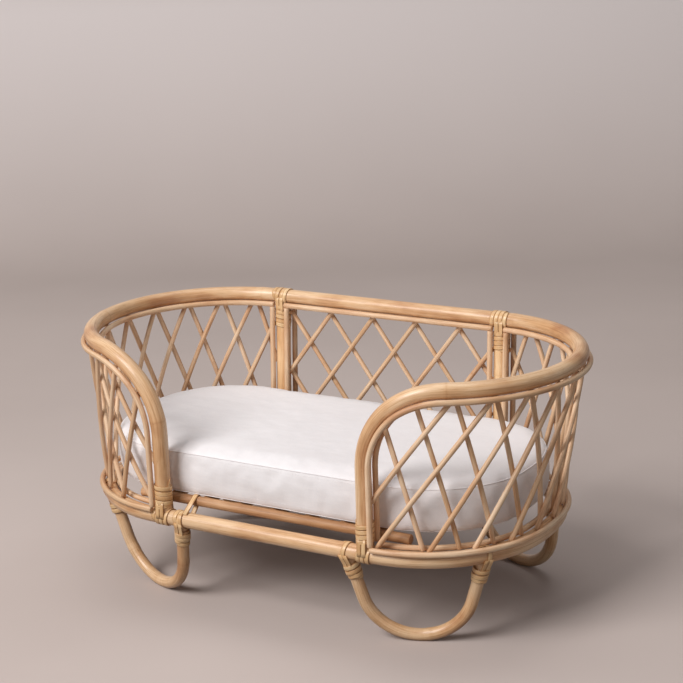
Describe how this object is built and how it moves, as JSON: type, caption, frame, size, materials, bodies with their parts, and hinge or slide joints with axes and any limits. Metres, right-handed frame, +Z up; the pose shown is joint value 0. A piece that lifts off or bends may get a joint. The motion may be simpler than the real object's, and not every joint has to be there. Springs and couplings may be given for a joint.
{
  "type": "rattan pet bed",
  "caption": "Raised oval pet bed of bent rattan poles with a crossed-rod wall round the ends and back, a low open front, looped legs and a loose oval cushion.",
  "frame": {"origin": "on the floor under the middle of the bed's overall box", "axes": "+Z up, the open front faces -Y, the length runs along X"},
  "size_m": [0.6304, 0.3304, 0.3064],
  "materials": {
    "rattan_pole": "satin clear-coated peeled rattan pole",
    "rattan_core": "matte rattan core rod",
    "rattan_peel": "satin rattan peel",
    "cushion_cloth": "fine woven cotton",
    "cushion_fill": "polyester fibre",
    "steel_screws": "zinc plated"
  },
  "bodies": {
    "frame": {"back_bottom_strip_inner": "rattan_core", "back_bottom_strip_outer": "rattan_core", "back_post_left": "rattan_pole", "back_post_right": "rattan_pole", "back_post_strips": "rattan_core", "back_rods_inner": "rattan_core", "back_rods_outer": "rattan_core", "back_top_strip_inner": "rattan_core", "back_top_strip_outer": "rattan_core", "base_ring": "rattan_pole", "left_bottom_strip_inner": "rattan_core", "left_bottom_strip_outer": "rattan_core", "left_post_strips": "rattan_core", "left_rods_inner": "rattan_core", "left_rods_outer": "rattan_core", "left_top_strip_inner": "rattan_core", "left_top_strip_outer": "rattan_core", "leg_front_left": "rattan_pole", "leg_front_left_binding": "rattan_peel", "leg_front_right": "rattan_pole", "leg_front_right_binding": "rattan_peel", "leg_rear_left": "rattan_pole", "leg_rear_left_binding": "rattan_peel", "leg_rear_right": "rattan_pole", "leg_rear_right_binding": "rattan_peel", "leg_screws": "steel_screws", "post_foot_binding_left": "rattan_peel", "post_foot_binding_right": "rattan_peel", "post_head_binding_left": "rattan_peel", "post_head_binding_right": "rattan_peel", "post_screws": "steel_screws", "right_bottom_strip_inner": "rattan_core", "right_bottom_strip_outer": "rattan_core", "right_post_strips": "rattan_core", "right_rods_inner": "rattan_core", "right_rods_outer": "rattan_core", "right_top_strip_inner": "rattan_core", "right_top_strip_outer": "rattan_core", "seat_cross_bars": "rattan_pole", "seat_pole_back": "rattan_pole", "seat_pole_front": "rattan_pole", "seat_tie": "rattan_peel", "top_rail": "rattan_pole", "upright_binding_left": "rattan_peel", "upright_binding_right": "rattan_peel", "upright_screws": "steel_screws"},
    "cushion": {"cushion_cover": "cushion_cloth", "cushion_filling": "cushion_fill"}
  },
  "joints": [
    {"name": "cushion_lift", "type": "slide", "parent": "frame", "child": "cushion", "axis": [0, 0, 1], "range_m": [0, 0.25]}
  ]
}
